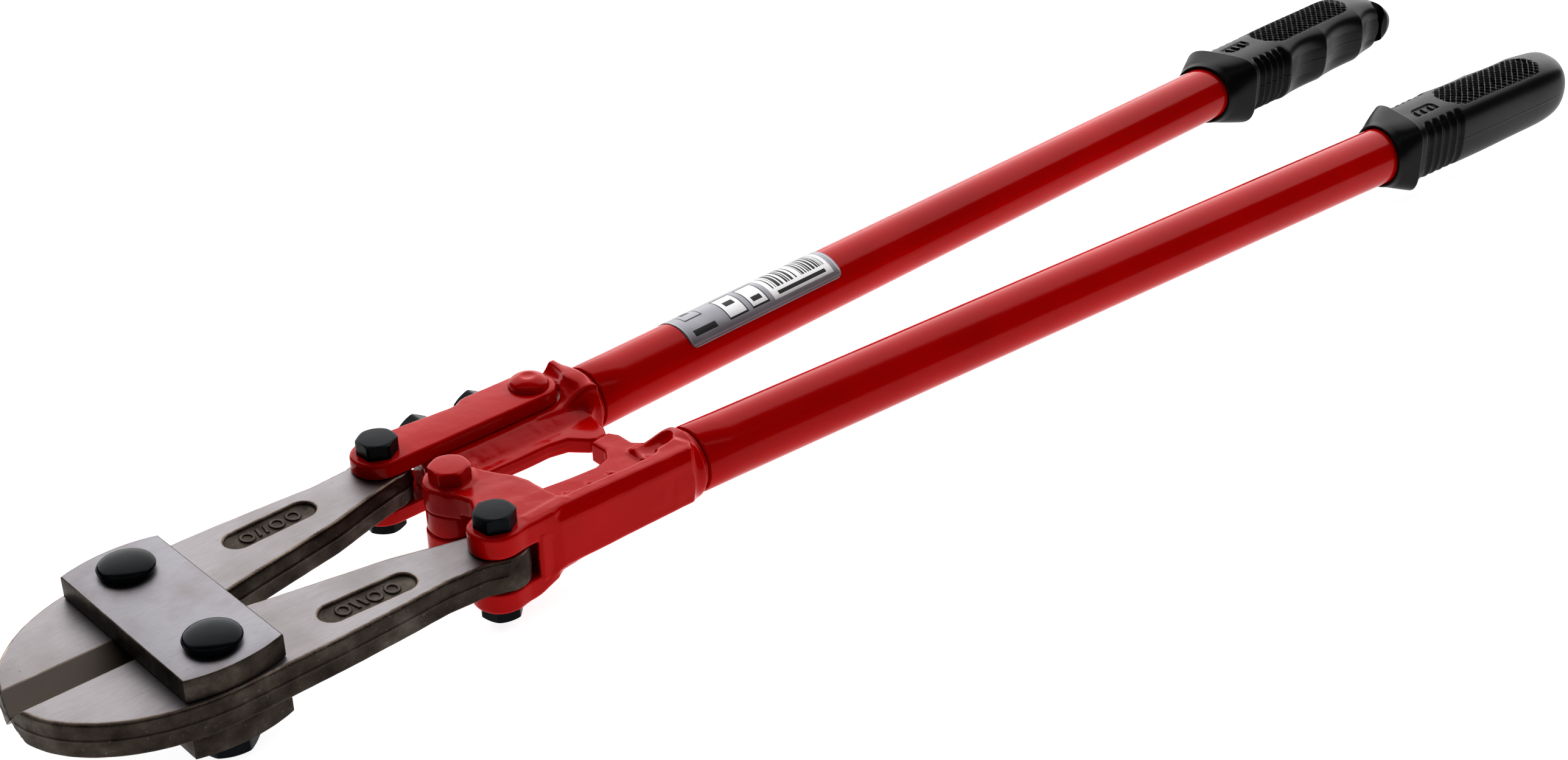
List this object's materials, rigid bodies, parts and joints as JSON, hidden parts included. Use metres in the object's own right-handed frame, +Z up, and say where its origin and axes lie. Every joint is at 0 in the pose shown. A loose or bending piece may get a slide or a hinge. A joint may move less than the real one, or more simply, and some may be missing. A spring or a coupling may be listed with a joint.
{
  "type": "bolt cutters",
  "caption": "Long-handled compound bolt cutters with forged jaws between steel plates, red cast handle heads, red tube handles and black moulded grips.",
  "frame": {"origin": "bottom centre of the tool's box, lying flat and closed on a surface", "axes": "+X from the jaws to the grips, +Y to the left handle seen with the jaws ahead, +Z up"},
  "size_m": [0.7673, 0.1354, 0.0436],
  "materials": {
    "jaw_steel": "ground faces on dark forged sides",
    "plate_steel": "ground, with faint stains",
    "black_steel": "oiled black oxide",
    "red_enamel": "gloss enamel over a lumpy casting",
    "red_tube": "smooth gloss enamel",
    "grip_plastic": "satin moulded plastic with a knurled pad",
    "label_foil": "silver grey printed foil"
  },
  "bodies": {
    "right_handle": {"handle_casting_right": "red_enamel", "tube_right": "red_tube", "grip_right": "grip_plastic", "tail_bolt_right": "black_steel", "tail_nut_right": "black_steel", "centre_bolt": "red_enamel", "centre_nut": "black_steel"},
    "left_handle": {"handle_casting_left": "red_enamel", "top_strap": "red_enamel", "bottom_strap": "red_enamel", "adjuster_block": "red_enamel", "strap_rivet": "red_enamel", "adjusting_screw_front": "black_steel", "adjusting_screw_rear": "black_steel", "lock_nut_front": "black_steel", "lock_nut_rear": "black_steel", "tail_bolt_left": "black_steel", "tail_nut_left": "black_steel", "tube_left": "red_tube", "tube_label": "label_foil", "grip_left": "grip_plastic"},
    "right_jaw": {"jaw_right": "jaw_steel"},
    "left_jaw": {"jaw_left": "jaw_steel"},
    "jaw_plates": {"top_jaw_plate": "plate_steel", "bottom_jaw_plate": "plate_steel", "jaw_bolt_left": "black_steel", "jaw_bolt_right": "black_steel", "jaw_nut_left": "black_steel", "jaw_nut_right": "black_steel"}
  },
  "joints": [
    {"name": "handle_spread", "type": "hinge", "parent": "right_handle", "child": "left_handle", "pos_m": [-0.22185, 0, 0.023], "axis": [0, 0, 1], "range_deg": [0, 80]},
    {"name": "right_jaw_turn", "type": "hinge", "parent": "right_handle", "child": "right_jaw", "pos_m": [-0.22825, -0.0337, 0.023], "axis": [0, 0, 1], "range_deg": [0, 46.25]},
    {"name": "left_jaw_turn", "type": "hinge", "parent": "left_handle", "child": "left_jaw", "pos_m": [-0.22825, 0.0337, 0.023], "axis": [0, 0, -1], "range_deg": [0, 46.25]},
    {"name": "plate_turn", "type": "hinge", "parent": "right_jaw", "child": "jaw_plates", "pos_m": [-0.32805, -0.026, 0.023], "axis": [0, 0, -1], "range_deg": [0, 6.25]}
  ],
  "couplings": [
    {"joint": "right_jaw_turn", "follows": "handle_spread", "ratio": 0.5775},
    {"joint": "left_jaw_turn", "follows": "handle_spread", "ratio": 0.5775},
    {"joint": "plate_turn", "follows": "handle_spread", "ratio": 0.0775}
  ]
}
